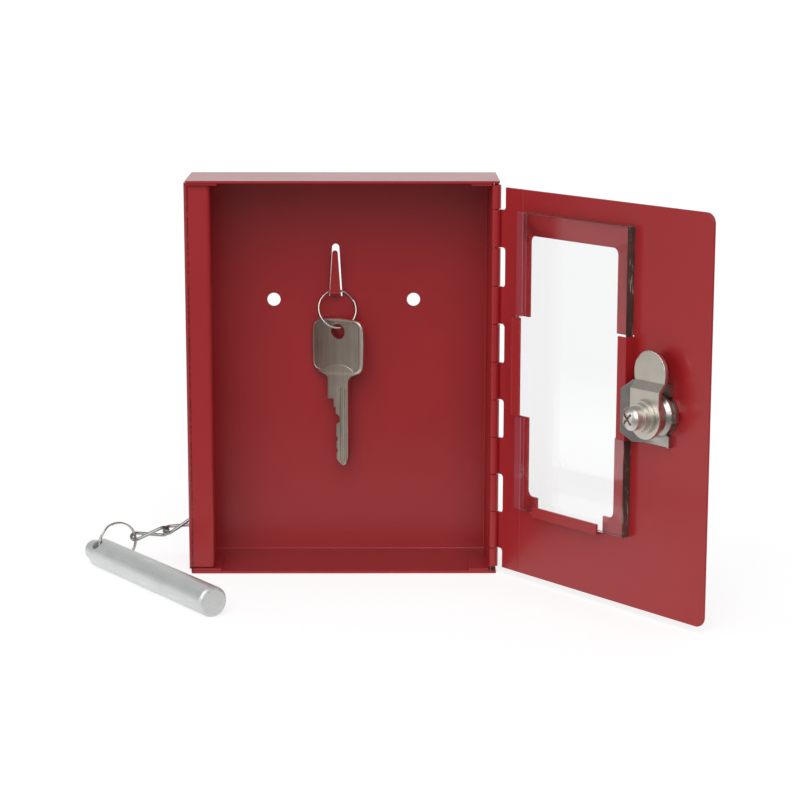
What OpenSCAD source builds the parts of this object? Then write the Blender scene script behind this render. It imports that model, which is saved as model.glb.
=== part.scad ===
// Break glass key box: folded steel box, glazed door on a continuous hinge, cam lock,
// stored key on a hook, and a steel hammer on a short chain.
// Origin: middle of the two wall holes, on the outer face of the back. Front is -Y, up is +Z.

/* [Body] */
// Width over the side walls
body_w = 120; // [100:1:160]
// Height over the top and bottom walls
body_h = 152; // [140:1:190]
// Depth from the wall to the front edges
body_d = 38; // [36:1:60]
// Thickness of the folded sheet
sheet_t = 0.9; // [0.8:0.1:1.2]
// Outer radius of the back folds
fold_r = 1.6; // [1.5:0.1:2.5]
// Overhang of the top and bottom walls past the hinge side wall
cap_over = 2.1; // [1:0.1:2.2]

/* [Wall holes] */
// Distance between the two wall holes
hole_pitch = 55; // [40:1:70]
// Diameter of a wall hole
hole_d = 5.2; // [4:0.1:6.5]
// Distance from the top down to the wall holes
hole_drop = 50; // [46:1:60]

/* [Jamb] */
// Width of the lock side jamb
jamb_w = 10; // [9:0.5:11]
// Setback of the jamb behind the front edges
jamb_setback = 2; // [1.8:0.1:3]
// Outer radius of the jamb folds
jamb_r = 1.7; // [1.4:0.1:1.7]
// Depth of the return behind the jamb face
return_d = 3.2; // [2.5:0.1:3.2]
// Gap between the jamb ends and the top and bottom walls
jamb_gap = 1.2; // [1.1:0.1:2]

/* [Corner tabs] */
// Width of the lock side tabs
tab_lock_w = 12.6; // [11:0.5:15]
// Width of the hinge side tabs
tab_hinge_w = 7.7; // [5:0.1:10]
// Length of the tabs, front to back
tab_len = 20; // [12:1:24]

/* [Key hook] */
// Sideways place of the hook
hook_x = -3.3; // [-8:0.1:8]
// Height of the fold at the hook root
hook_root_z = 1.3; // [0:0.1:3]
// Height of the hook tongue
hook_h = 18.8; // [14:0.1:20]
// Width at the root and at the tip
hook_root_w = 4.5; // [4:0.1:6]
hook_tip_w = 2.2; // [1.8:0.1:3]
// Width of the cut beside the tongue
hook_kerf = 0.3; // [0.3:0.05:0.6]

/* [Hinge] */
// Hinge pin diameter
pin_d = 1.7; // [1.5:0.1:2]
// Radial clearance between pin and knuckles
pin_fit = 0.05; // [0.02:0.01:0.1]
// Length of one hinge knuckle
knuckle_pitch = 14.6; // [12:0.1:16]
// Gap between two knuckles
knuckle_gap = 0.3; // [0.2:0.05:0.6]
// Width of the slot beside each box knuckle
slot_w = 2.5; // [2:0.1:3]
// How far the door stands open
door_open = 126.4; // [95:0.1:175]

/* [Door] */
// Width from the hinge axis to the free edge
door_w = 117; // [108:0.5:117]
// Gaps above and below the door, to the outside of the box
door_gap_top = 2.2; // [2.2:0.1:4]
door_gap_bottom = 2.7; // [2.2:0.1:4]
// Radius of the free corners
door_corner_r = 4; // [2:0.5:8]

/* [Window and glass] */
// Distance from the hinge axis to the window
window_s = 21.1; // [20:0.1:24]
// Width and height of the window
window_w = 49; // [44:0.5:49]
window_h = 98.9; // [80:0.1:100]
// Distance from the bottom of the box to the window
window_up = 34.4; // [32:0.1:40]
// Radius of the window corners
window_r = 2.4; // [1:0.1:5]
// Width and height of the glass pane
glass_w = 62; // [61:0.5:62]
glass_h = 113.2; // [108:0.1:113.2]
// Thickness of the glass pane
glass_t = 3.5; // [2:0.1:3.8]
// Side play of the pane between the clips
glass_play = 0.6; // [0.2:0.1:0.8]
// Height of the side clips, and of their middle above the bottom of the box
clip_h = 37.6; // [20:0.5:50]
clip_up = 83.6; // [75:0.1:90]
// How far the clips reach over the pane
clip_lip = 3.4; // [2:0.1:4]
// Width of the shelf clip under the pane
shelf_w = 36.9; // [20:0.1:40]
// Height of the shelf lip
shelf_lip = 3; // [2:0.1:4]

/* [Lock] */
// Distance from the door's free edge to the lock
lock_edge = 24; // [22:0.5:26]
// Height of the lock above the bottom of the box
lock_up = 76.4; // [70:0.1:82]
// Diameter of the lock shank and of its outer flange
shank_d = 16; // [15:0.1:17]
flange_d = 19; // [18:0.5:22]
// Thickness of the outer flange
flange_t = 1.8; // [1.2:0.1:2.5]
// Diameter of the rear barrel
barrel_d = 13.6; // [13:0.1:14.5]
// Diameter of the plug
plug_d = 10; // [9:0.1:10.5]
// Running clearance of the plug
plug_fit = 0.05; // [0.02:0.01:0.1]
// Number and thickness of the wafer tumblers
wafer_count = 4; // [2:1:4]
wafer_t = 0.7; // [0.6:0.05:0.8]
// Side of the square drive
drive_w = 6; // [5:0.1:6.5]
// Length of the barrel behind the door sheet
barrel_len = 7.1; // [6.8:0.1:7.4]
// Thickness of the spring clip
spring_t = 0.95; // [0.8:0.05:1.1]
// Tilt of the raised end of the spring clip
spring_tilt = 40; // [38:1:44]

/* [Cam] */
// Thickness of the cam
cam_t = 1.5; // [1.2:0.1:1.8]
// Radius of the cam ends
cam_r = 8.2; // [7.5:0.1:8.5]
// Distance between the centres of the cam ends
cam_reach = 15.3; // [14:0.1:16]
// Crank of the cam towards the door
cam_crank = 2.4; // [1:0.1:2.4]
// Width of the waist
cam_waist = 15; // [12:0.5:16]

/* [Stored key] */
// Thickness of the key
key_t = 2; // [1.8:0.1:2.4]
// Half width of the bow
bow_half = 11.4; // [10.5:0.1:12]
// Length from the hole to the tip
key_len = 53.5; // [48:0.5:58]
// Diameter of the hole in the bow
key_hole_d = 6; // [5.5:0.1:7]
// Turn of the key away from the back wall
key_turn = 28; // [26:1:36]
// Turn of the key's ring the other way
ring_turn = 15; // [13:1:18]

/* [Split rings] */
// Radius of the turns, middle of the wire
ring_r = 7.55; // [7:0.05:8]
// Wire size across and along the ring axis
ring_wire = 0.7; // [0.6:0.05:0.8]
ring_wire_l = 0.6; // [0.5:0.05:0.7]
// Distance between the two turns
ring_pitch = 0.76; // [0.72:0.01:0.85]
// Radius of the ring inside the wall
anchor_r = 6.6; // [6:0.05:6.8]
// Radius of the hammer's ring
hammer_ring_r = 7.8; // [7.6:0.05:8]

/* [Chain] */
// Diameter of the chain wire
chain_wire = 1.35; // [1.2:0.05:1.5]
// Length and width of the wire's middle line in a link
link_len = 14.6; // [13:0.1:16]
link_w = 5.25; // [5:0.05:6]
// Twist of a link from end to end
link_twist = 90; // [80:5:100]
// Roll of both links about their length
link_roll = 16; // [10:1:30]
// Play between wires
chain_play = 0.15; // [0.1:0.05:0.2]
// Height of the chain hole above the bottom of the box
chain_up = 16.5; // [14:0.1:22]
// Distance from the wall to the chain hole
chain_back = 20; // [12:0.5:24]
// Diameter of the chain hole
chain_hole_d = 7.4; // [7.2:0.1:9]
// Bearing of the chain, and its bend in the middle
chain_turn = 8; // [0:1:20]
chain_sag = 9; // [0:1:14]

/* [Hammer] */
// Diameter and length of the hammer
hammer_d = 11.5; // [10:0.5:14]
hammer_len = 98; // [70:1:100]
// Diameter and length of the turned nose
nose_d = 8; // [6:0.5:9]
nose_len = 6; // [4:0.5:8]
// Distance from the nose to the cross hole
cross_hole_s = 11; // [9:0.5:14]
// Diameter of the cross hole
cross_hole_d = 4.4; // [4.2:0.1:5]
// Turn of the hammer from the front direction
hammer_turn = 32.5; // [20:0.5:33]
// Roll of the cross hole
hammer_roll = 37; // [25:1:45]

/* [Hidden] */
$fn = 48;

red = "firebrick";
steel = "silver";
zinc = "lightgray";
nickel = "darkkhaki";

eps = 0.01;
t = sheet_t;
left_x = -body_w / 2;
right_x = body_w / 2;
top_z = hole_drop;
floor_z = hole_drop - body_h;
front_y = -body_d;

barrel_r = pin_d / 2 + pin_fit + t;
hinge_x = right_x - barrel_r;
hinge_y = front_y + barrel_r;
wall_x = hinge_x - barrel_r;
knuckle_low = floor_z + 10;
knuckle_first = floor_z + door_gap_bottom + 0.1;
knuckle_last = top_z - door_gap_top + 0.7;

door_z0 = floor_z + door_gap_bottom;
door_z1 = top_z - door_gap_top;
inner_y = front_y + t;
window_z = floor_z + window_up;
glass_s = window_s + window_w / 2 - glass_w / 2 + glass_play;
glass_z = window_z - 5.8;
lip_y = inner_y + glass_t + 0.1;
lock_s = door_w - lock_edge;
lock_x = hinge_x - lock_s;
lock_z = floor_z + lock_up;
barrel_y = inner_y + barrel_len;
cam_y = barrel_y + 0.05;
washer_y = cam_y + cam_t + 0.05;
retainer_y = barrel_y - 3.8;
function wafer_y(i) = front_y - 0.6 + 1.15 * i;
washer_t = 1.6;
spring_washer_t = 1.8;
head_y = washer_y + washer_t + spring_washer_t + 0.1;

// One sheet fold: a quarter ring seen along the fold, outer radius r, from angle a
module fold(r, a) {
    rotate(a) intersection() {
        difference() {
            circle(r);
            circle(r - t);
        }
        square(r + 1);
    }
}

// A rectangle with four round corners, lowest corner at the origin
module round_square(w, h, r) {
    translate([r, 0]) square([w - 2 * r, h]);
    translate([0, r]) square([w, h - 2 * r]);
    for (x = [r, w - r], y = [r, h - r]) translate([x, y]) circle(r);
}

// Extrudes a profile drawn in Y and Z along +X
module along_x(length) {
    rotate([90, 0, 90]) linear_extrude(height = length) children();
}

// Extrudes a profile drawn in X and Z along +Y
module along_y(length) {
    translate([0, length, 0]) rotate([90, 0, 0]) linear_extrude(height = length) children();
}

// Turns a door piece drawn with the door shut to the door's open place
module on_door() {
    translate([hinge_x, hinge_y, 0]) rotate([0, 0, door_open])
        translate([-hinge_x, -hinge_y, 0]) children();
}

// Points of a polyline shifted sideways by d, for a bent ribbon
function shifted(p, d) = [for (i = [0 : len(p) - 1])
    let (a = p[max(i - 1, 0)], b = p[min(i + 1, len(p) - 1)], v = (b - a) / norm(b - a))
    p[i] + d * [-v[1], v[0]]];
function backwards(p) = [for (i = [len(p) - 1 : -1 : 0]) p[i]];
module ribbon(p) {
    polygon(concat(shifted(p, t / 2), backwards(shifted(p, -t / 2))));
}

// Tube swept along points p; frames a and b across it, section c of [a, b] pairs
module sweep(p, a, b, c, closed) {
    n = len(p);
    m = len(c);
    last = closed ? n - 1 : n - 2;
    points = [for (i = [0 : n - 1], q = c) p[i] + q[0] * a[i] + q[1] * b[i]];
    sides = [for (i = [0 : last], j = [0 : m - 1])
        let (i2 = (i + 1) % n, j2 = (j + 1) % m)
        each [[i * m + j, i * m + j2, i2 * m + j2], [i * m + j, i2 * m + j2, i2 * m + j]]];
    ends = closed ? [] : [[for (j = [m - 1 : -1 : 0]) j], [for (j = [0 : m - 1]) (n - 1) * m + j]];
    polyhedron(points = points, faces = concat(sides, ends), convexity = 4);
}
function unit(v) = v / norm(v);

module cap_wall() {
    // drawn as the top wall; the back fold and the flat, with round front corners
    intersection() {
        translate([left_x + t, 0, 0]) along_x(body_w - t - (hinge_x + barrel_r - wall_x - t) + cap_over)
            union() {
                translate([-fold_r, top_z - fold_r]) fold(fold_r, 0);
                translate([front_y, top_z - t]) square([body_d - fold_r, t]);
            }
        translate([left_x + t, front_y, 0]) linear_extrude(height = top_z)
            round_square(body_w - t - (hinge_x + barrel_r - wall_x - t) + cap_over, body_d, 1.2);
    }
}

module lock_side() {
    h0 = floor_z + t + 0.1;
    translate([0, 0, h0]) linear_extrude(height = body_h - 2 * t - 0.2) union() {
        translate([left_x, front_y + jamb_setback + jamb_r])
            square([t, body_d - jamb_setback - jamb_r - fold_r]);
        translate([left_x + fold_r, -fold_r]) fold(fold_r, 90);
    }
    jamb_y = front_y + jamb_setback;
    translate([0, 0, floor_z + t + jamb_gap]) linear_extrude(height = body_h - 2 * t - 2 * jamb_gap)
        union() {
            translate([left_x + jamb_r, jamb_y + jamb_r]) fold(jamb_r, 180);
            translate([left_x + jamb_r, jamb_y]) square([jamb_w - 2 * jamb_r, t]);
            translate([left_x + jamb_w - jamb_r, jamb_y + jamb_r]) fold(jamb_r, 270);
            translate([left_x + jamb_w - t, jamb_y + jamb_r]) square([t, return_d - jamb_r]);
        }
}

module corner_tab(x, w) {
    // lies on the bottom wall; the top one is its mirror image
    translate([x, front_y + 0.6, floor_z + t]) cube([w, tab_len, t]);
}

// One knuckle: the sheet rolled round the pin, from where it arrives (angle a) to its end
module roll(z0, z1, a) {
    translate([hinge_x, hinge_y, z0]) rotate([0, 0, a]) rotate_extrude(angle = 295)
        translate([pin_d / 2 + pin_fit, 0]) square([t, z1 - z0]);
}

module box_knuckles() {
    for (i = [0 : 5]) {
        z0 = i == 0 ? knuckle_first : knuckle_low + (2 * i - 1) * knuckle_pitch + knuckle_gap / 2;
        z1 = i == 5 ? knuckle_last : knuckle_low + 2 * i * knuckle_pitch - knuckle_gap / 2;
        roll(z0, z1, 180);
        translate([wall_x, hinge_y - eps, z0]) cube([t, barrel_r + 0.5, z1 - z0]);
    }
}

module hook_tongue() {
    bend = 1.1;
    rise = 1.3;
    crook = hook_crook;
    steps = 6;
    first = [for (i = [0 : steps]) let (a = 90 * i / steps)
        [-t / 2 - bend + bend * cos(a), hook_root_z + bend * sin(a)]];
    y2 = -t / 2 - bend - crook;
    second = [for (i = [0 : steps]) let (a = 82 * i / steps)
        [y2 - rise * sin(a), hook_root_z + bend + rise - rise * cos(a)]];
    end = second[steps];
    tip = [end[0] - (hook_root_z + hook_h - end[1]) * tan(8), hook_root_z + hook_h];
    intersection() {
        translate([hook_x - hook_root_w, 0, 0]) along_x(2 * hook_root_w)
            ribbon(concat([[-t / 2, hook_root_z - 1]], first, second, [tip]));
        translate([0, -body_d, 0]) along_y(body_d) hook_outline(0);
    }
}
hook_crook = 1.9;

module hook_outline(grow) {
    z1 = hook_root_z + hook_h + (grow > 0 ? 1.9 : 0);
    half = hook_tip_w / 2 + grow;
    // the tongue stands close to the left side of its cut
    translate([hook_x + (grow > 0 ? 0.2 : 0), 0]) union() {
        polygon([[-hook_root_w / 2 - grow, hook_root_z], [hook_root_w / 2 + grow, hook_root_z],
            [half, z1 - half], [-half, z1 - half]]);
        translate([0, z1 - half]) circle(half);
        translate([-hook_root_w / 2, hook_root_z - 1]) square([hook_root_w, 1 + (grow > 0 ? 0 : eps)]);
    }
}

module housing() color(red) difference() {
    union() {
        // back panel
        translate([left_x + fold_r, -t, floor_z + fold_r])
            cube([wall_x + t - fold_r - left_x - fold_r, t, body_h - 2 * fold_r]);
        cap_wall();
        translate([0, 0, top_z + floor_z]) mirror([0, 0, 1]) cap_wall();
        lock_side();
        // hinge side wall, cut back beside the door knuckles
        translate([0, 0, floor_z + t + 0.1]) linear_extrude(height = body_h - 2 * t - 0.2) union() {
            translate([wall_x, hinge_y + barrel_r + 0.4])
                square([t, body_d - 2 * barrel_r - 0.4 - fold_r]);
            translate([wall_x + t - fold_r, -fold_r]) fold(fold_r, 0);
        }
        box_knuckles();
        corner_tab(left_x + t, tab_lock_w - t);
        corner_tab(wall_x - tab_hinge_w, tab_hinge_w + eps);
        translate([0, 0, top_z + floor_z]) mirror([0, 0, 1]) {
            corner_tab(left_x + t, tab_lock_w - t);
            corner_tab(wall_x - tab_hinge_w, tab_hinge_w + eps);
        }
        hook_tongue();
    }
    for (side = [-1, 1]) translate([side * hole_pitch / 2, 1, 0]) rotate([90, 0, 0])
        cylinder(d = hole_d, h = t + 2);
    // cut round the hook tongue, down to its root
    difference() {
        translate([0, -t - 0.5, 0]) along_y(t + 1) intersection() {
            hook_outline(hook_kerf);
            translate([-body_w, hook_root_z]) square([2 * body_w, body_h]);
        }
        hook_tongue();
    }
    translate([left_x - 1, -chain_back, floor_z + chain_up]) rotate([0, 90, 0])
        cylinder(d = chain_hole_d, h = t + 2);
    translate([hinge_x, hinge_y, floor_z + t]) cylinder(d = pin_d + 2 * pin_fit, h = body_h - 2 * t);
}

module hinge_pin() color(steel)
    translate([hinge_x, hinge_y, floor_z + t + 0.1]) cylinder(d = pin_d, h = body_h - 2 * t - 0.2);

module box_slots() {
    // stadium slots beside the box knuckles, drawn in s and z
    for (i = [0 : 5]) {
        z0 = i == 0 ? door_z0 - slot_w : knuckle_low + (2 * i - 1) * knuckle_pitch - knuckle_gap / 2;
        z1 = i == 5 ? door_z1 + slot_w : knuckle_low + 2 * i * knuckle_pitch + knuckle_gap / 2;
        s1 = barrel_r + slot_w;
        translate([-barrel_r - 1, z0]) square([s1 - slot_w / 2 + barrel_r + 1, z1 - z0]);
        translate([0, z0 + slot_w / 2]) square([s1, z1 - z0 - slot_w]);
        for (z = [z0 + slot_w / 2, z1 - slot_w / 2]) translate([s1 - slot_w / 2, z]) circle(slot_w / 2);
    }
}

module side_clip(s, dir) {
    // bridge folded from the window edge, root at s, lip reaching dir over the pane
    z0 = floor_z + clip_up - clip_h / 2;
    reach = clip_lip + (dir > 0 ? glass_s - s : s - glass_s - glass_w);
    x0 = hinge_x - s;
    translate([dir > 0 ? x0 - t : x0, inner_y - t, z0]) cube([t, lip_y + 2 * t - inner_y, clip_h]);
    translate([dir > 0 ? x0 - reach : x0, lip_y, z0]) cube([reach, t, clip_h]);
}
left_clip_s = glass_s - 0.3 - t - glass_play;
right_clip_s = glass_s + glass_w + 0.3 + t;

module door_panel() color(red) on_door() {
    difference() {
        union() {
            translate([hinge_x, 0, 0]) mirror([1, 0, 0]) translate([0, front_y, 0]) along_y(t)
                difference() {
                    union() {
                        translate([0, door_z0]) square([door_w / 2, door_z1 - door_z0]);
                        translate([door_w / 2, door_z0])
                            round_square(door_w / 2, door_z1 - door_z0, door_corner_r);
                        translate([door_w / 2, door_z0]) square([door_corner_r, door_z1 - door_z0]);
                    }
                    box_slots();
                    translate([window_s, window_z]) round_square(window_w, window_h, window_r);
                    // cut-outs that the clips were folded from
                    translate([left_clip_s + t, floor_z + clip_up - clip_h / 2 - 0.3])
                        square([window_s + 5 - left_clip_s - t, clip_h + 0.6]);
                    translate([window_s + window_w - 5, floor_z + clip_up - clip_h / 2 - 0.3])
                        square([right_clip_s - t - window_s - window_w + 5, clip_h + 0.6]);
                    translate([window_s + window_w / 2 - shelf_w / 2 - 0.4, glass_z - 0.2])
                        square([shelf_w + 0.8, 10]);
                    translate([lock_s, lock_z]) circle(d = shank_d + 0.2);
                }
            for (i = [0 : 4]) {
                z0 = knuckle_low + 2 * i * knuckle_pitch + knuckle_gap / 2;
                roll(z0, z0 + knuckle_pitch - knuckle_gap, 270);
            }
            side_clip(left_clip_s, 1);
            side_clip(right_clip_s, -1);
            // shelf clip under the pane
            translate([hinge_x - window_s - window_w / 2 - shelf_w / 2, inner_y - t, glass_z - 0.2 - t])
                cube([shelf_w, lip_y + 2 * t - inner_y, t]);
            translate([hinge_x - window_s - window_w / 2 - shelf_w / 2, lip_y, glass_z - 0.2 - t])
                cube([shelf_w, t, shelf_lip + t]);
        }
        translate([hinge_x, hinge_y, door_z0 - 1])
            cylinder(d = pin_d + 2 * pin_fit, h = door_z1 - door_z0 + 2);
    }
}

module glass_pane() color("lightcyan", 0.5) on_door()
    translate([hinge_x - glass_s - glass_w, inner_y, glass_z]) cube([glass_w, glass_t, glass_h]);

// A turned piece on the lock axis; y runs inwards from the door's outer face
module lock_turned(y, r, h, r2) {
    translate([lock_x, y, lock_z]) rotate([-90, 0, 0]) cylinder(r1 = r, r2 = r2, h = h);
}

module lock_body() color(steel) on_door() {
    groove_y = inner_y + spring_t + 0.05;
    difference() {
        union() {
            lock_turned(front_y - flange_t, flange_d / 2 - 0.5, 0.5, flange_d / 2);
            lock_turned(front_y - flange_t + 0.5, flange_d / 2, flange_t - 0.5, flange_d / 2);
            lock_turned(front_y, shank_d / 2, t, shank_d / 2);
            lock_turned(front_y, shank_d / 2 - 1, t + spring_t + 0.1, shank_d / 2 - 1);
            lock_turned(groove_y, shank_d / 2, 1.6, shank_d / 2);
            lock_turned(groove_y + 1.6, shank_d / 2, 1.4, barrel_d / 2);
            lock_turned(groove_y, barrel_d / 2, barrel_y - groove_y, barrel_d / 2);
            translate([lock_x - shank_d / 2 - 1.9, groove_y, lock_z - 1.7]) cube([3, 1.6, 3.4]);
        }
        lock_turned(front_y - flange_t - 1, plug_d / 2 + plug_fit, body_d, plug_d / 2 + plug_fit);
        // inner groove that the retainer turns in
        lock_turned(retainer_y - 0.05, plug_d / 2 + 0.7, wafer_t + 0.1, plug_d / 2 + 0.7);
    }
}

// Points on an arc round a centre, from angle a over sweep b in n steps
function arc(c, r, a, b, n) = [for (k = [0 : n]) c + r * [cos(a + b * k / n), sin(a + b * k / n)]];

module lock_clip() color(nickel) on_door() {
    slot_r = shank_d / 2 - 0.9;
    half = shank_d / 2 + 3.3;
    chamfer = shank_d / 4;
    raised = half - 2.3;
    bend = -shank_d / 2 - 0.5;
    prong = half - 5.4;
    lip = spring_t + 1;
    run = raised * cos(spring_tilt);
    rise = raised * sin(spring_tilt);
    end = bend - run;
    translate([hinge_x - lock_s, inner_y, lock_z]) mirror([1, 0, 0]) union() {
        // bent strip, cut to the horseshoe's outline, open towards the free edge
        intersection() {
            translate([0, 0, -half - 1]) linear_extrude(height = 2 * half + 2) polygon([[prong, 0],
                [bend, 0], [end, rise],
                [end + spring_t * sin(spring_tilt), rise + spring_t * cos(spring_tilt)],
                [bend + spring_t * tan(spring_tilt / 2), spring_t], [prong, spring_t]]);
            translate([0, -1, 0]) along_y(body_d) polygon(concat([[prong + 1, slot_r]],
                arc([0, 0], slot_r, 90, 180, 20),
                [[prong + 1, -slot_r], [prong + 1, -half], [end + chamfer, -half],
                    [end - 0.1, chamfer - half], [end - 0.1, half - chamfer],
                    [end + chamfer, half], [prong + 1, half]]));
        }
        // turned-up tips
        for (z = [slot_r, -half]) translate([prong - spring_t, spring_t / 2, z])
            cube([spring_t, lip - spring_t / 2, half - slot_r]);
    }
}

module lock_plug() color(nickel) on_door() difference() {
    union() {
        lock_turned(front_y - flange_t + 0.2, plug_d / 2, barrel_y - front_y + flange_t - 0.2, plug_d / 2);
        translate([lock_x - drive_w / 2, barrel_y - 1, lock_z - drive_w / 2])
            cube([drive_w, cam_t + 1, drive_w]);
    }
    // keyway, wafer slots, retainer slot and the screw bore
    translate([lock_x - 0.7, front_y - flange_t - 1, lock_z - 3.4])
        cube([1.4, retainer_y - front_y + flange_t + 0.7, 6.8]);
    for (i = [0 : wafer_count - 1]) translate([lock_x - 2.55, wafer_y(i) - 0.05, lock_z - plug_d])
        cube([5.1, wafer_t + 0.1, 2 * plug_d]);
    translate([lock_x - 1.85, retainer_y - 0.05, lock_z - 2.05]) cube([3.7, wafer_t + 0.1, plug_d]);
    lock_turned(barrel_y - 2.4, 2, 10, 2);
}

module wafer_tumblers() color(zinc) on_door()
    for (i = [0 : wafer_count - 1]) difference() {
        intersection() {
            translate([lock_x - 2.5, wafer_y(i), lock_z - plug_d]) cube([5, wafer_t, 2 * plug_d]);
            lock_turned(front_y - flange_t, plug_d / 2 - 0.1, body_d, plug_d / 2 - 0.1);
        }
        // window for the key, at its own height in each wafer
        translate([lock_x - 0.9, wafer_y(i) - 1, lock_z - 3 + 0.35 * (i % 3)]) cube([1.8, 3, 5]);
    }

module retainer_wafer() color(zinc) on_door() intersection() {
    translate([lock_x - 1.8, retainer_y, lock_z - 2]) cube([3.6, wafer_t, plug_d]);
    lock_turned(front_y, plug_d / 2 + 0.55, body_d, plug_d / 2 + 0.55);
}

module cam_outline() {
    circle(cam_r);
    translate([0, cam_reach]) circle(cam_r);
    translate([-cam_waist / 2, 0]) square([cam_waist, cam_reach]);
}

module lock_cam() color(nickel) on_door() translate([lock_x, cam_y, lock_z]) {
    crank_low = 9.6;
    crank_high = 12.4;
    difference() {
        intersection() {
            translate([0, -cam_crank, 0]) along_y(cam_t + cam_crank) cam_outline();
            translate([-body_w / 2, 0, 0]) along_x(body_w) polygon([
                [0, -cam_r - 1], [cam_t, -cam_r - 1], [cam_t, crank_low],
                [cam_t - cam_crank, crank_high], [cam_t - cam_crank, 3 * cam_r + 9],
                [-cam_crank, 3 * cam_r + 9], [-cam_crank, crank_high - 0.4], [0, crank_low - 0.4]]);
        }
        translate([-drive_w / 2 - 0.05, -1, -drive_w / 2 - 0.05])
            cube([drive_w + 0.1, cam_t + 2, drive_w + 0.1]);
    }
}

module cam_washer() color(nickel) on_door() difference() {
    lock_turned(washer_y, 6.1, washer_t, 6.1);
    lock_turned(washer_y - 1, 2.2, washer_t + 2, 2.2);
}

module cam_spring_washer() color(nickel) on_door() difference() {
    lock_turned(washer_y + washer_t + 0.05, 5.2, spring_washer_t, 5.2);
    lock_turned(washer_y + washer_t - 1, 2.2, spring_washer_t + 2, 2.2);
    translate([lock_x, washer_y, lock_z - 0.4]) rotate([0, 0, 12]) cube([7, 6, 0.8]);
}

module cam_screw() color(nickel) on_door() difference() {
    union() {
        lock_turned(barrel_y - 2, 1.95, head_y - barrel_y + 2 + eps, 1.95);
        lock_turned(head_y, 4.3, 2.8, 4.3);
        lock_turned(head_y + 2.8, 4.3, 1, 3.5);
        lock_turned(head_y + 3.8, 3.5, 0.6, 2.2);
    }
    for (turn = [45, 135]) translate([lock_x, head_y + 2.2, lock_z]) rotate([0, turn, 0])
        translate([-2.6, 0, -0.45]) cube([5.2, 5, 0.9]);
}

// Split ring: two flat turns of wire about local Z, from angle start, with a step between them
module split_ring(r, start) {
    n = 68;
    turned = 680;
    step = 26;
    function part(i) = min(max((turned * (i / n - 0.5)) / step + 0.5, 0), 1);
    p = [for (i = [0 : n]) let (a = start + turned * i / n)
        [r * cos(a), r * sin(a), ring_pitch * (0.5 - 0.5 * cos(180 * part(i)) - 0.5)]];
    out = [for (i = [0 : n]) let (a = start + turned * i / n) [cos(a), sin(a), 0]];
    up = [for (i = [0 : n]) [0, 0, 1]];
    w = ring_wire / 2;
    h = ring_wire_l / 2;
    sweep(p, out, up, [[w, -h * 0.5], [w, h * 0.5], [w * 0.5, h], [-w * 0.5, h],
        [-w, h * 0.5], [-w, -h * 0.5], [-w * 0.5, -h], [w * 0.5, -h]], false);
}

// Stored key: ring hangs in the crook of the hook, its foot pushed out by the key's turned bow
crook_z = hook_root_z + 1.1 + t / 2;
ring_half = ring_pitch / 2 + ring_wire_l / 2;
bow_reach = bow_half * sin(key_turn) + key_t / 2 * cos(key_turn);
ring_seat = ring_r - sqrt(pow(ring_r, 2) - pow(hook_root_w / 2 + 0.2, 2)) + 0.22;
ring_top = [hook_x + 0.1, -t - 1.75, crook_z + ring_wire / 2 + ring_seat];
foot_y = -t - bow_reach - 0.5;
ring_lean = asin((ring_top[1] - foot_y) / (2 * ring_r * cos(ring_turn)));
ring_down = [sin(ring_turn) * sin(ring_lean), -cos(ring_turn) * sin(ring_lean), -cos(ring_lean)];
ring_foot = ring_top + 2 * ring_r * ring_down;
key_hole_z = ring_foot[2] - 1.3;

module key_ring() color(steel)
    translate(ring_top + ring_r * ring_down) rotate([0, 0, ring_turn])
        rotate([90 - ring_lean, 0, 0]) split_ring(ring_r, 66);

module stored_key() color(nickel)
    translate([ring_foot[0], ring_foot[1], key_hole_z]) rotate([0, 0, -key_turn])
        translate([0, -key_t / 2, 0]) difference() {
            along_y(key_t) difference() {
                key_outline();
                circle(d = key_hole_d);
            }
            // long grooves on both faces
            for (x = [0.9, 2.9]) translate([x, -eps, -key_len + 1.5]) cube([0.7, 0.5 + eps, key_len - 24]);
            translate([1.9, key_t - 0.5, -key_len + 1.5]) cube([0.9, 1, key_len - 24]);
        }

module key_outline() {
    r = 4;
    top = 5.1;
    low = -16.6;
    neck = -18.6;
    shoulder = -26.9;
    edge = -1.1;
    back = 4.4;
    tip = -key_len;
    polygon(concat(
        [[0, top]], arc([bow_half - r - 0.2, top - r - 0.5], r, 84, -80, 6),
        [[bow_half, -5]], arc([bow_half - r - 0.3, low + r], r, 0, -78, 6),
        // neck, back of the blade and tip
        [[5.6, neck + 1], [4.7, neck], [back, neck - 1.2], [back, tip + 3.4], [back - 0.8, tip + 0.9],
            [back - 2, tip], [back - 3, tip + 0.3], [edge + 0.3, tip + 2.6]],
        // cuts along the edge, up to the shoulder
        [[edge + 0.4, tip + 5], [edge + 0.9, tip + 6], [edge + 0.2, tip + 7.2], [edge + 0.3, tip + 9.6],
            [edge + 0.9, tip + 10.6], [edge + 0.2, tip + 11.8], [edge + 0.2, -37],
            [edge + 1.6, -36], [edge + 1.9, -34.9], [edge + 1.6, -33.8], [edge - 0.1, -32.6],
            [edge - 0.1, -30.2], [edge - 1, -30.2], [edge - 1, shoulder], [-4.7, shoulder],
            [-4.7, neck], [-5.6, neck + 1]],
        arc([r + 0.3 - bow_half, low + r], r, 258, -78, 6),
        [[-bow_half, -5]], arc([r + 0.2 - bow_half, top - r - 0.5], r, 176, -80, 6)));
}

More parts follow.
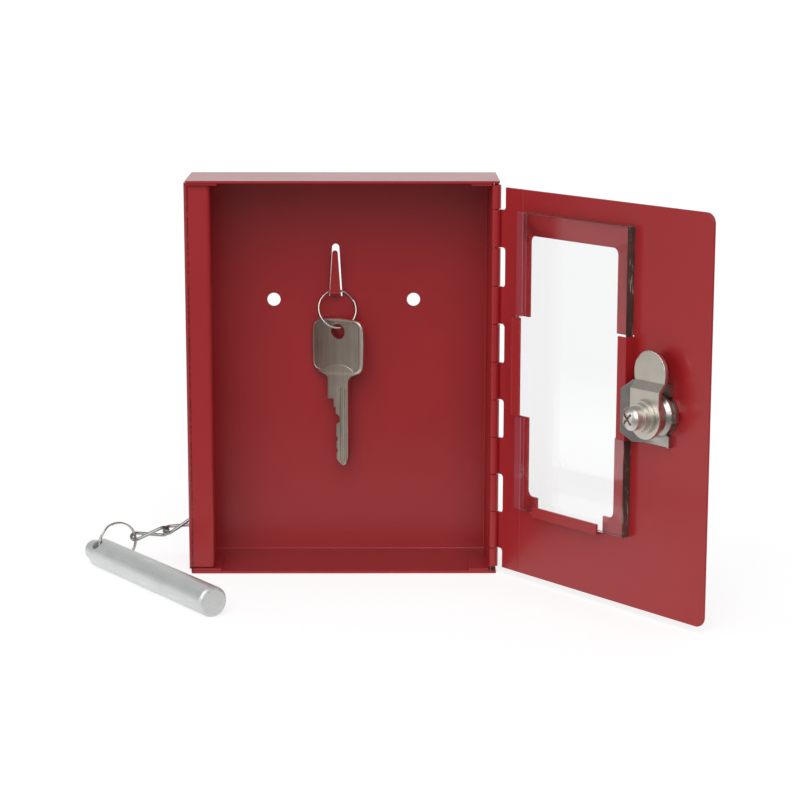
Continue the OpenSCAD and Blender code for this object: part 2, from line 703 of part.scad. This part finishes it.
// Chain: the anchor ring inside the wall, two links, the hammer ring and the hammer
grip = ring_half + chain_wire / 2 + 0.14;
chain_run = 2 * link_len - 2 * grip - chain_wire - chain_play;
anchor = [left_x + t + 0.1 + ring_half, 0.25 - chain_back, floor_z + chain_up + 0.55];
ring_dist = hammer_ring_r - 0.9;
rod_z = floor_z + hammer_d / 2;
hang = 10;
ring_end_z = rod_z + ring_dist * sin(hammer_roll) + hammer_ring_r * sin(hang);
chain_dip = asin((anchor[2] - ring_end_z) / (chain_run * cos(chain_sag / 2)));
function chain_dir(dip) = [-cos(dip) * cos(chain_turn), -cos(dip) * sin(chain_turn), -sin(dip)];
dir_in = chain_dir(chain_dip + chain_sag / 2);
dir_out = chain_dir(chain_dip - chain_sag / 2);
link_in_mid = anchor + (link_len / 2 - grip) * dir_in;
joint_mid = anchor + (chain_run / 2) * dir_in;
link_out_mid = joint_mid + (link_len / 2 - (chain_wire + chain_play) / 2) * dir_out;
ring_end = joint_mid + (chain_run / 2) * dir_out;
rod_dir = [sin(hammer_turn), -cos(hammer_turn), 0];
rod_side = [cos(hammer_turn), sin(hammer_turn), 0];
hammer_ring_mid = ring_end - hammer_ring_r * (cos(hang) * rod_side + sin(hang) * [0, 0, 1]);
cross_hole = [hammer_ring_mid[0], hammer_ring_mid[1], rod_z] - ring_dist * cos(hammer_roll) * rod_side;
nose_tip = cross_hole - cross_hole_s * rod_dir;

// Turns local X to direction v
module aim(v) {
    rotate([0, 0, atan2(v[1], v[0])]) rotate([0, -asin(v[2] / norm(v)), 0]) children();
}

// Twisted link: an oval wire loop along local X, its ends turned half the twist each way
module twisted_link() {
    n = 40;
    r = link_w / 2;
    flat = link_len - link_w;
    round_part = PI * r;
    total = 2 * (flat + round_part);
    oval = [for (i = [0 : n - 1]) let (d = total * i / n)
        d < flat ? [d - flat / 2, -r]
        : d < flat + round_part ? let (a = (d - flat) / r * 180 / PI) [flat / 2 + r * sin(a), -r * cos(a)]
        : d < 2 * flat + round_part ? [flat / 2 - (d - flat - round_part), r]
        : let (a = (d - 2 * flat - round_part) / r * 180 / PI) [-flat / 2 - r * sin(a), r * cos(a)]];
    function turn(x) = -link_twist * x / link_len;
    p = [for (q = oval) [q[0], q[1] * cos(turn(q[0])), q[1] * sin(turn(q[0]))]];
    across = [for (q = oval) [0, -sin(turn(q[0])), cos(turn(q[0]))]];
    along = [for (i = [0 : n - 1]) unit(p[(i + 1) % n] - p[(i + n - 1) % n])];
    side = [for (i = [0 : n - 1]) unit(cross(across[i], along[i]))];
    up = [for (i = [0 : n - 1]) cross(side[i], along[i])];
    w = chain_wire / 2;
    sweep(p, side, up, [for (k = [0 : 7]) w * [cos(45 * k), sin(45 * k)]], true);
}

module chain_anchor_ring() color(steel)
    translate(anchor - [0, 0, anchor_r]) rotate([0, 90, 0]) split_ring(anchor_r, 20);

module chain_link_inner() color(steel)
    translate(link_in_mid) aim(dir_in) rotate([link_roll, 0, 0]) twisted_link();

module chain_link_outer() color(steel)
    translate(link_out_mid) aim(dir_out) rotate([link_roll, 0, 0]) twisted_link();

module hammer_ring() color(steel)
    translate(hammer_ring_mid) rotate([0, 0, hammer_turn]) rotate([90, 0, 0]) split_ring(hammer_ring_r, 150);

module hammer() color(zinc)
    translate(nose_tip) rotate([0, 0, hammer_turn - 90]) rotate([0, 90, 0]) difference() {
        union() {
            cylinder(d1 = nose_d - 2.4, d2 = nose_d, h = 1.2);
            translate([0, 0, 1.2]) cylinder(d = nose_d, h = nose_len - 1.2 + eps);
            translate([0, 0, nose_len]) cylinder(d1 = nose_d, d2 = hammer_d, h = 1.8);
            translate([0, 0, nose_len + 1.8]) cylinder(d = hammer_d, h = hammer_len - nose_len - 2.6);
            translate([0, 0, hammer_len - 0.8]) cylinder(d1 = hammer_d, d2 = hammer_d - 1.6, h = 0.8);
        }
        translate([0, 0, cross_hole_s]) rotate([0, 0, hammer_roll]) rotate([0, 90, 0])
            translate([0, 0, -hammer_d]) cylinder(d = cross_hole_d, h = 2 * hammer_d);
    }

housing();
hinge_pin();
door_panel();
glass_pane();
lock_body();
lock_clip();
lock_plug();
wafer_tumblers();
retainer_wafer();
lock_cam();
cam_washer();
cam_spring_washer();
cam_screw();
key_ring();
stored_key();
chain_anchor_ring();
chain_link_inner();
chain_link_outer();
hammer_ring();
hammer();
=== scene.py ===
import math

import bpy
from mathutils import Matrix, Vector


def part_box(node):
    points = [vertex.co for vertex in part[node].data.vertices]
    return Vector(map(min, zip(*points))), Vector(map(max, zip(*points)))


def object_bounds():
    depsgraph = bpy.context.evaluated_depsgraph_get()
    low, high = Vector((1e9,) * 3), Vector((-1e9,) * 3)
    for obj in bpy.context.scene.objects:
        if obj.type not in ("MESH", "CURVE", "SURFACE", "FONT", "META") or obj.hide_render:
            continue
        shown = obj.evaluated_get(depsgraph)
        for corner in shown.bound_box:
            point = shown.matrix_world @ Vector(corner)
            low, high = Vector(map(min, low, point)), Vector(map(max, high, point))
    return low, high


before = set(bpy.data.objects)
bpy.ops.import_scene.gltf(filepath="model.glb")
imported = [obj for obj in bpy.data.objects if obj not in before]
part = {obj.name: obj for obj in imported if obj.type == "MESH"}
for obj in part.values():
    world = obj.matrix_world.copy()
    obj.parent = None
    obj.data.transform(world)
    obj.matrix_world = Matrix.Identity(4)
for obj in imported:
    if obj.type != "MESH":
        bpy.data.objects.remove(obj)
solid_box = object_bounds()


# Camera
# The place, direction and focal length that were worked out from the box's corners, the wall
# holes and the door. The optical axis meets the 800 x 800 picture 100 pixels under its middle.
picture_px = 800
axis_under_middle_px = 100.0
focal_px = 2570.2
stand = (0.01218, -1.0075, 0.14181)
yaw, pitch, roll = 0.010046, -0.21785, 0.0015894
aim = Vector((math.sin(yaw) * math.cos(pitch), math.cos(yaw) * math.cos(pitch), math.sin(pitch)))
level = Vector((math.cos(yaw), -math.sin(yaw), 0.0))
upright = level.cross(aim)
right = math.cos(roll) * level + math.sin(roll) * upright
up = -math.sin(roll) * level + math.cos(roll) * upright

lens = bpy.data.cameras.new("photo_view")
lens.sensor_width = 36.0
lens.lens = focal_px / picture_px * lens.sensor_width
lens.shift_y = axis_under_middle_px / picture_px
lens.clip_start = 0.05
lens.clip_end = 100.0
camera = bpy.data.objects.new("photo_view", lens)
bpy.context.scene.collection.objects.link(camera)
camera.matrix_world = (Matrix.Translation(stand)
                       @ Matrix((right, up, -aim)).transposed().to_4x4())
bpy.context.scene.camera = camera
bpy.context.scene.view_settings.view_transform = "Standard"


# Housing
# Folded 0.9 mm sheet steel, spot welded at its corner tabs and powder coated red, with a faint
# orange peel. Its narrowest faces leave a rounding no room, so its edges are in effect sharp.
mm = 0.001


class Flow:
    """A shader socket that takes part in sums, so that 1 - mask * 0.2 adds its Math nodes."""

    def __init__(self, tree, socket=None):
        self.tree = tree
        self.socket = socket

    def node(self, kind, settings=None, out=0, **inputs):
        """Adds a node; an input is named, or numbered as i0, i1 and so on."""
        made = self.tree.nodes.new(kind)
        for name, value in (settings or {}).items():
            setattr(made, name, value)
        for name, value in inputs.items():
            numbered = name[0] == "i" and name[1:].isdigit()
            key = int(name[1:]) if numbered else name.replace("_", " ")
            if isinstance(value, Flow):
                self.tree.links.new(value.socket, made.inputs[key])
            else:
                made.inputs[key].default_value = value
        return Flow(self.tree, made.outputs[out])

    def _math(self, operation, a, b=0.0):
        return self.node("ShaderNodeMath", {"operation": operation}, i0=a, i1=b)

    def __add__(self, other):
        return self._math("ADD", self, other)

    __radd__ = __add__

    def __sub__(self, other):
        return self._math("SUBTRACT", self, other)

    def __rsub__(self, other):
        return self._math("SUBTRACT", other, self)

    def __mul__(self, other):
        return self._math("MULTIPLY", self, other)

    __rmul__ = __mul__

    def __truediv__(self, other):
        return self._math("DIVIDE", self, other)

    def __abs__(self):
        return self._math("ABSOLUTE", self)

    def root(self):
        """The square root."""
        return self._math("SQRT", self)

    def above(self, other):
        """The greater of the two."""
        return self._math("MAXIMUM", self, other)

    def below(self, other):
        """The lesser of the two."""
        return self._math("MINIMUM", self, other)

    def clamp(self, low=0.0, high=1.0):
        return self.node("ShaderNodeClamp", Value=self, Min=low, Max=high)

    def tint(self, dark, light):
        """This mask as a colour between two, each given as numbers or as a colour's socket."""
        dark, light = (c if isinstance(c, Flow) else (*c, 1.0) for c in (dark, light))
        return self.node("ShaderNodeMix", {"data_type": "RGBA"}, out=2, i0=self, i6=dark, i7=light)

    def axis(self, letter):
        """The X, Y or Z of this vector."""
        return self.node("ShaderNodeSeparateXYZ", out="XYZ".index(letter), Vector=self)

    def away_from(self, point):
        """The vector that leads here from a point."""
        return self.node("ShaderNodeVectorMath", {"operation": "SUBTRACT"}, i0=self, i1=point)

    def along(self, direction):
        """How far this vector reaches in a direction."""
        return self.node("ShaderNodeVectorMath", {"operation": "DOT_PRODUCT"}, out=1, i0=self,
                         i1=direction)

    def ray(self, kind):
        """1 where light is followed as one kind of ray, such as Camera, and otherwise 0."""
        return self.node("ShaderNodeLightPath", out=f"Is {kind} Ray")


def place_on(tree):
    """Where a point of the surface is, in metres in the part's frame at rest."""
    return Flow(tree).node("ShaderNodeTexCoord", out=3)


def finish_of(name, build):
    """A new material; build(place) gives the values and links of its Principled shader."""
    material = bpy.data.materials.new(name)
    material.use_nodes = True
    tree = material.node_tree
    shader = tree.nodes["Principled BSDF"]
    for socket, value in build(place_on(tree)).items():
        if isinstance(value, Flow):
            tree.links.new(value.socket, shader.inputs[socket])
        else:
            shader.inputs[socket].default_value = value
    return material


def speckle(place, scale, detail=2.0, rough=0.5, stretch=(1.0, 1.0, 1.0)):
    """Noise with scale cells to the metre; it is drawn out where stretch is under 1."""
    spread = place.node("ShaderNodeMapping", i0=place, i3=stretch)
    return place.node("ShaderNodeTexNoise", i2=scale, Vector=spread, Detail=detail,
                      Roughness=rough)


def red_coat(place, fold=0.0):
    """Powder coat with a slight orange peel; fold raises the surface, in metres."""
    drift = speckle(place, 26.0, 3.0)
    peel = speckle(place, 620.0, 1.0)
    grain = speckle(place, 2600.0, 1.0)
    return {
        "Base Color": drift.tint((0.340, 0.0135, 0.0170), (0.385, 0.0175, 0.0220)),
        "Roughness": 0.27 + 0.08 * drift + 0.04 * grain,
        "Normal": place.node("ShaderNodeBump", Strength=1.0, Distance=1.0,
                             Height=0.0176 * mm * peel + 0.0044 * mm * grain + fold),
        "IOR": 1.5,
        "Specular IOR Level": 0.38,
        "Coat Weight": 0.25,
        "Coat Roughness": 0.16,
    }


def housing_coat(place):
    """Painted shade: a dark ragged stripe in the bend where the wall on the lock side turns
    into the jamb, and a faint darkening of that wall's outer face in front.
    """
    bend_x, bend_half, front_from, line_top = -58.5 * mm, 0.40 * mm, -33.0 * mm, 48.0 * mm
    across, ahead, height = (place.axis(letter) for letter in "XYZ")
    in_front = ((front_from - ahead) / (0.5 * mm)).clamp()
    bend = (1.0 - abs(across - bend_x) / bend_half).clamp() * in_front
    outer_strip_shade = ((bend_x - across) / (0.2 * mm)).clamp() * in_front
    ragged = speckle(place, 900.0, 2.0, 0.5, (0.2, 0.2, 1.0))
    bend_shade = 0.9 * bend * ((ragged - 0.36) * 6.0).clamp() * ((line_top - height) / mm).clamp()
    coat = red_coat(place)
    # painted shade: the stripe in the bend and the darker front strip of the outer wall
    painted_shade = (bend_shade + 0.15 * outer_strip_shade).clamp()
    coat["Base Color"] = painted_shade.tint(coat["Base Color"], (0.030, 0.002, 0.003))
    return coat


def mesh_group(name):
    """An empty geometry group, with its way in and its way out."""
    group = bpy.data.node_groups.new(name, "GeometryNodeTree")
    for way in ("INPUT", "OUTPUT"):
        group.interface.new_socket("Geometry", in_out=way, socket_type="NodeSocketGeometry")
    return group, group.nodes.new("NodeGroupInput"), group.nodes.new("NodeGroupOutput")


def skin_group():
    """Joins the solid's loose faces into one skin."""
    group, start, end = mesh_group("one_skin")
    bare = group.nodes.new("GeometryNodeRemoveAttribute")
    bare.inputs["Name"].default_value = "custom_normal"
    join = group.nodes.new("GeometryNodeMergeByDistance")
    join.inputs["Distance"].default_value = 0.002 * mm
    group.links.new(start.outputs[0], bare.inputs[0])
    group.links.new(bare.outputs[0], join.inputs[0])
    group.links.new(join.outputs[0], end.inputs[0])
    return group


def shading_group(angle):
    """Rounds the shading where faces meet at less than angle, in degrees."""
    group, start, end = mesh_group(f"round_under_{angle}")
    corner = group.nodes.new("GeometryNodeInputMeshEdgeAngle")
    under = group.nodes.new("FunctionNodeCompare")
    under.operation = "LESS_THAN"
    under.inputs["B"].default_value = math.radians(angle)
    faces = group.nodes.new("GeometryNodeSetShadeSmooth")
    faces.domain = "FACE"
    edges = group.nodes.new("GeometryNodeSetShadeSmooth")
    edges.domain = "EDGE"
    group.links.new(corner.outputs[0], under.inputs["A"])
    group.links.new(start.outputs[0], faces.inputs["Geometry"])
    group.links.new(faces.outputs[0], edges.inputs["Geometry"])
    group.links.new(under.outputs[0], edges.inputs["Shade Smooth"])
    group.links.new(edges.outputs[0], end.inputs[0])
    return group


one_skin = skin_group()
sheet_shading = shading_group(38)
cut_edge = 0.12 * mm
sharp_corner = math.radians(40)


def dress(node, material, edge=0.0, steps=2, shading=sheet_shading, narrow=False):
    """Gives a solid its finish and rounds its edges; narrow spares its narrowest face."""
    piece = part[node]
    piece.data.materials.clear()
    piece.data.materials.append(material)
    piece.modifiers.new("skin", "NODES").node_group = one_skin
    if edge:
        rounded = piece.modifiers.new("edges", "BEVEL")
        rounded.width = edge
        rounded.segments = steps
        rounded.limit_method = "ANGLE"
        rounded.angle_limit = sharp_corner
        rounded.use_clamp_overlap = narrow
        rounded.miter_outer = "MITER_SHARP"
    piece.modifiers.new("shading", "NODES").node_group = shading
    piece.modifiers.new("flats", "WEIGHTED_NORMAL").keep_sharp = True


dress("housing", finish_of("red_coat_housing", housing_coat), cut_edge, narrow=True)


# Hinge pin
# Drawn steel wire, pushed through all eleven knuckles. It shows only in the slits between them,
# reddened by the coat and coloured very dark as painted shade of the slits.
def plated(colour, rough):
    """A metal finish with a faint drift in its shine and a fine tooth."""
    def build(place):
        drift = speckle(place, 300.0, 3.0)
        fine = speckle(place, 2700.0, 2.0)
        return {
            "Base Color": drift.tint([0.86 * c for c in colour], colour),
            "Metallic": 1.0,
            "Roughness": rough + 0.10 * drift + 0.05 * fine,
            "Normal": place.node("ShaderNodeBump", Strength=0.12, Distance=0.03 * mm,
                                 Height=fine + 0.6 * drift),
        }
    return build


# the pin's very dark red is painted shade in the slits between the knuckles
dress("hinge_pin", finish_of("pin_painted_shade", plated((0.13, 0.035, 0.035), 0.45)))


# Door
# The same sheet and powder coat; its window, clips and slots are punched, its knuckles rolled.
# A faint crease runs down the sheet beside the hinge, where the roll begins.
door_turn = math.radians(126.4)
hinge_axis = (0.0582, -0.0362, 0.0)


def out_from_hinge(place):
    """How far a point of the open door stands from the hinge, in metres along the sheet."""
    return place.away_from(hinge_axis).along((-math.cos(door_turn), -math.sin(door_turn), 0.0))


def door_coat(place):
    crease_out, crease_half = 14.2 * mm, 0.45 * mm
    crease = (1.0 - abs(out_from_hinge(place) - crease_out) / crease_half).clamp()
    return red_coat(place, fold=0.12 * mm * crease)


dress("door_panel", finish_of("red_coat_door", door_coat), cut_edge)


# Pane
# Clear float glass. Its edges are cut and rough ground; their dark brown with bright chips is
# painted shade and painted glints. The edge beside the hinge turns away; where sheet lies behind
# it, a mauve band with a pale stripe is painted on it, a painted reflection of the red sheet.
def clear_glass(place):
    return {
        "Base Color": (0.955, 0.960, 0.965, 1.0),
        "Roughness": 0.0,
        "IOR": 1.5,
        "Transmission Weight": 1.0,
    }


glass = finish_of("clear_glass", clear_glass)
tree = glass.node_tree
place = place_on(tree)
clear = Flow(tree, tree.nodes["Principled BSDF"].outputs[0])

chips = speckle(place, 520.0, 3.0, 0.7, (1.0, 1.0, 0.16))
flakes = speckle(place, 2200.0, 2.0, 0.6, (1.0, 1.0, 0.10))
glints = ((chips * flakes - 0.315) * 16.0).clamp()
# painted shade and painted glints: the ground edge's dark brown and its bright chips
edge_shade_and_glints = (0.24 * chips + glints).clamp().tint((0.032, 0.013, 0.011), (0.40, 0.33, 0.27))
tooth = place.node("ShaderNodeBump", Strength=0.6, Distance=0.2 * mm,
                   Height=chips + 0.4 * flakes)
ground_edge = place.node("ShaderNodeBsdfPrincipled", i0=edge_shade_and_glints, Metallic=0.0,
                         Roughness=0.22 + 0.3 * flakes, Normal=tooth)
facing = place.node("ShaderNodeTexCoord", out=1).along(
    (math.sin(door_turn), -math.cos(door_turn), 0.0))
rim = ((0.6 - abs(facing)) * 8.0).clamp()

band_end, notch_middle, notch_half = 19.2 * mm, -18.4 * mm, 19.1 * mm
over_sheet = ((abs(place.axis("Z") - notch_middle) - notch_half) / (0.2 * mm)).clamp()
beside_hinge = ((band_end - out_from_hinge(place)) / (0.15 * mm)).clamp() * over_sheet
# painted reflection: the red sheet seen through the edge as a mauve band, with a painted highlight
# stripe
painted_highlight_stripe = (1.0 - abs(out_from_hinge(place) - band_end + 0.3 * mm) / (0.25 * mm)).clamp()
mauve = place.node("ShaderNodeBsdfPrincipled", Metallic=0.0, Roughness=0.25,
                   i0=painted_highlight_stripe.tint((0.40, 0.052, 0.070), (0.60, 0.24, 0.26)))

edged = place.node("ShaderNodeMixShader", i0=rim * 0.85, i1=clear, i2=ground_edge)
banded = place.node("ShaderNodeMixShader", i0=beside_hinge * (0.72 + 0.28 * rim),
                    i1=edged, i2=mauve)
# light goes straight through the pane into its shadow, so the shadow is pale
light_through = place.node("ShaderNodeBsdfTransparent", Color=(0.93, 0.96, 0.95, 1.0))
whole = place.node("ShaderNodeMixShader", i0=place.ray("Shadow"), i1=banded, i2=light_through)
tree.links.new(whole.socket, tree.nodes["Material Output"].inputs["Surface"])
dress("glass_pane", glass, 0.25 * mm, 1)


# Lock
# Zinc die cast body and plug with a sprung steel clip, nickel plated; the cam and the wafers are
# plated warmer, and their paler colour is painted light on the cam; the cam's washers and screw
# are paler and duller.
cast_nickel = finish_of("cast_nickel", plated((0.56, 0.54, 0.50), 0.26))
# painted light: the cam's nickel is coloured paler than the body's to stand in for light it
# catches
warm_nickel_painted_bright = finish_of("warm_nickel_painted_bright", plated((0.74, 0.70, 0.62), 0.25))
pale_nickel = finish_of("pale_nickel", plated((0.80, 0.77, 0.71), 0.33))
dress("lock_body", cast_nickel, cut_edge)
dress("lock_plug", cast_nickel, cut_edge)
dress("lock_clip", cast_nickel, 0.16 * mm)
dress("lock_cam", warm_nickel_painted_bright, 0.2 * mm)
for name in ("cam_washer", "cam_spring_washer", "cam_screw"):
    dress(name, pale_nickel, cut_edge)
for name in ("wafer_tumblers", "retainer_wafer"):
    dress(name, warm_nickel_painted_bright)


# Stored key
# A stamped key of nickel silver, brushed along its length. Its bow has a bevelled rim round a
# sunk field that ends in an arc above the neck; the field is painted darker and the rim lighter,
# as painted shade and painted highlight.
key_turn = math.radians(28.0)
key_low, key_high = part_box("stored_key")
bow_hole = (-2.6 * mm, 0.5 * (key_low[1] + key_high[1]), key_high[2] - 5.1 * mm)
bow_half, bow_half_tall, bow_corner = 11.4 * mm, 10.85 * mm, 4.0 * mm
bow_under_hole = 5.75 * mm
arc_side, arc_under_hole, arc_radius = 0.6 * mm, 24.0 * mm, 11.0 * mm
bow_foot = 17.5 * mm
field_inset, rim_bevel = 1.25 * mm, 0.75 * mm


def stamped_key(place):
    spread = place.away_from(bow_hole)
    side = spread.along((math.cos(key_turn), -math.sin(key_turn), 0.0))
    rise = spread.along((0.0, 0.0, 1.0))

    # how far outside the bow's rounded outline a point is, negative inside
    past_x = abs(side) - (bow_half - bow_corner)
    past_z = abs(rise + bow_under_hole) - (bow_half_tall - bow_corner)
    corner_x, corner_z = past_x.above(0.0), past_z.above(0.0)
    outside = ((corner_x * corner_x + corner_z * corner_z).root()
               + past_x.above(past_z).below(0.0) - bow_corner)

    arc_x, arc_z = side - arc_side, rise + arc_under_hole
    above_arc = (arc_x * arc_x + arc_z * arc_z).root() - arc_radius
    field = (((-field_inset - outside) * (6.0 / mm)).clamp()
             * (above_arc * (6.0 / mm)).clamp())
    rim = ((outside + rim_bevel) * (1.4 / mm)).clamp() * ((rise + bow_foot) / mm).clamp()

    streak = speckle(place, 900.0, 3.0, 0.6, (1.0, 1.0, 0.035))
    drift = speckle(place, 120.0, 3.0)
    # painted shade and highlight: the sunk field darker, the bevelled rim lighter, over the random
    # brushed colour
    tone = (0.55 * streak + 0.45 * drift - 0.18 * field + 0.30 * rim).clamp()
    relief = (-0.10 * mm * field + -0.22 * mm * rim
              + 0.004 * mm * streak + 0.003 * mm * drift)
    return {
        "Base Color": tone.tint((0.39, 0.335, 0.265), (0.82, 0.77, 0.67)),
        "Metallic": 1.0,
        "Roughness": 0.31 + 0.12 * streak,
        "Normal": place.node("ShaderNodeBump", Strength=1.0, Distance=1.0, Height=relief),
    }


dress("stored_key", finish_of("stamped_key", stamped_key), 0.16 * mm)


# Rings and chain
# Split rings wound from bright plated wire, on the key and on the hammer. The chain's ring in
# the wall and its two twisted links are of a greyer wire.
wire_shading = shading_group(62)
wire_bright = finish_of("bright_wire", plated((0.60, 0.585, 0.555), 0.18))
wire_grey = finish_of("grey_wire", plated((0.40, 0.40, 0.395), 0.22))
for name in ("key_ring", "hammer_ring"):
    dress(name, wire_bright, shading=wire_shading)
for name in ("chain_anchor_ring", "chain_link_inner", "chain_link_outer"):
    dress(name, wire_grey, shading=wire_shading)


# Hammer
# A bar of zinc plated steel with a turned nose. The plating is dull and cloudy, drawn out along
# the bar, with a few scuffs and small pits.
hammer_turn = math.radians(32.5)


def zinc_bar(place):
    lengthwise = place.node("ShaderNodeMapping", i0=place,
                            i2=(0.0, 0.0, math.pi / 2.0 - hammer_turn))
    cloud = speckle(lengthwise, 190.0, 4.0, 0.62, (0.45, 1.0, 1.0))
    draw = speckle(lengthwise, 700.0, 3.0, 0.6, (0.05, 1.0, 1.0))
    spot = speckle(place, 1500.0, 2.0)
    scuff = ((speckle(lengthwise, 330.0, 3.0, 0.6, (0.14, 1.0, 1.0)) - 0.60) * 9.0).clamp()
    pit = ((speckle(place, 760.0, 1.0) - 0.70) * 14.0).clamp()
    tone = (0.55 * cloud + 0.25 * draw + 0.20 * spot + 0.30 * scuff - 0.55 * pit).clamp()
    return {
        "Base Color": tone.tint((0.54, 0.565, 0.555), (0.88, 0.90, 0.89)),
        "Metallic": 0.78,
        "Roughness": 0.38 + 0.16 * cloud,
        "Normal": place.node("ShaderNodeBump", Strength=0.8, Distance=0.06 * mm,
                             Height=0.7 * cloud + 0.25 * draw + 0.2 * spot - 0.8 * pit),
    }


dress("hammer", finish_of("zinc_bar", zinc_bar), 0.2 * mm)


# Studio
# A white paper floor that runs out of the picture, and soft light from all round, from above
# in front and from the left.
white = (1.0, 1.0, 1.0, 1.0)
reach = 30.0
floor_z = solid_box[0][2] - 0.2 * mm
corners = [(-reach, -reach, floor_z), (reach, -reach, floor_z),
           (reach, reach, floor_z), (-reach, reach, floor_z)]
paper_mesh = bpy.data.meshes.new("studio_floor")
paper_mesh.from_pydata(corners, [], [(0, 1, 2, 3)])
floor = bpy.data.objects.new("studio_floor", paper_mesh)
bpy.context.scene.collection.objects.link(floor)

paper = bpy.data.materials.new("studio_paper")
paper.use_nodes = True
tree = paper.node_tree
tree.nodes.remove(tree.nodes["Principled BSDF"])
place = place_on(tree)
mirrored = place.ray("Glossy")
shown = (place.ray("Camera") + mirrored + place.ray("Transmission")).clamp()
matt = place.node("ShaderNodeBsdfDiffuse", Color=(0.80, 0.80, 0.80, 1.0))
pale = place.node("ShaderNodeBsdfDiffuse", Color=(0.36, 0.36, 0.36, 1.0))
glow = place.node("ShaderNodeEmission", Color=white, Strength=0.745)
shadowed_white = place.node("ShaderNodeAddShader", i0=pale, i1=glow)
sheet = place.node("ShaderNodeMixShader", i0=shown, i1=matt, i2=shadowed_white)
# in reflections the paper ends a little way in front of the box, and is dimmer on the left
paper_front, paper_left = -0.08, -0.25
past_front = ((paper_front - place.axis("Y")) * 5.0).clamp()
off_left = ((paper_left - place.axis("X")) * 4.0).clamp(0.0, 0.70)
carpet = place.node("ShaderNodeBsdfDiffuse", Color=(0.20, 0.20, 0.20, 1.0))
ground = place.node("ShaderNodeMixShader", i0=mirrored * past_front.above(off_left),
                    i1=sheet, i2=carpet)
tree.links.new(ground.socket, tree.nodes["Material Output"].inputs["Surface"])
paper_mesh.materials.append(paper)

world = bpy.data.worlds.new("studio_air")
bpy.context.scene.world = world
world.use_nodes = True
tree = world.node_tree
background = tree.nodes["Background"]
background.inputs["Color"].default_value = white
air = Flow(tree)
# in reflections the room in front is dimmer than the room behind
ambient, room_dark, room_turn, room_front = 0.50, 0.28, 0.15, 0.17
direct = (air.ray("Camera") + air.ray("Transmission")).clamp()
mirrored = air.ray("Glossy")
depth = air.node("ShaderNodeTexCoord", out=0).axis("Y")
to_back, to_front = (depth - room_turn).above(0.0), (room_turn - depth).above(0.0)
room = room_dark + to_back * to_back + room_front * to_front * to_front
lit = mirrored * room + (1.0 - mirrored) * ambient
tree.links.new((direct + (1.0 - direct) * lit).socket, background.inputs["Strength"])


def soft_sun(name, toward, strength, angle):
    lamp = bpy.data.lights.new(name, "SUN")
    lamp.energy = strength
    lamp.angle = math.radians(angle)
    sun = bpy.data.objects.new(name, lamp)
    bpy.context.scene.collection.objects.link(sun)
    sun.rotation_euler = Vector(toward).to_track_quat("-Z", "Y").to_euler()


soft_sun("front_above", (0.1, 1.0, -0.75), 1.35, 50)
soft_sun("left_side", (0.96, 0.22, -0.14), 0.50, 24)
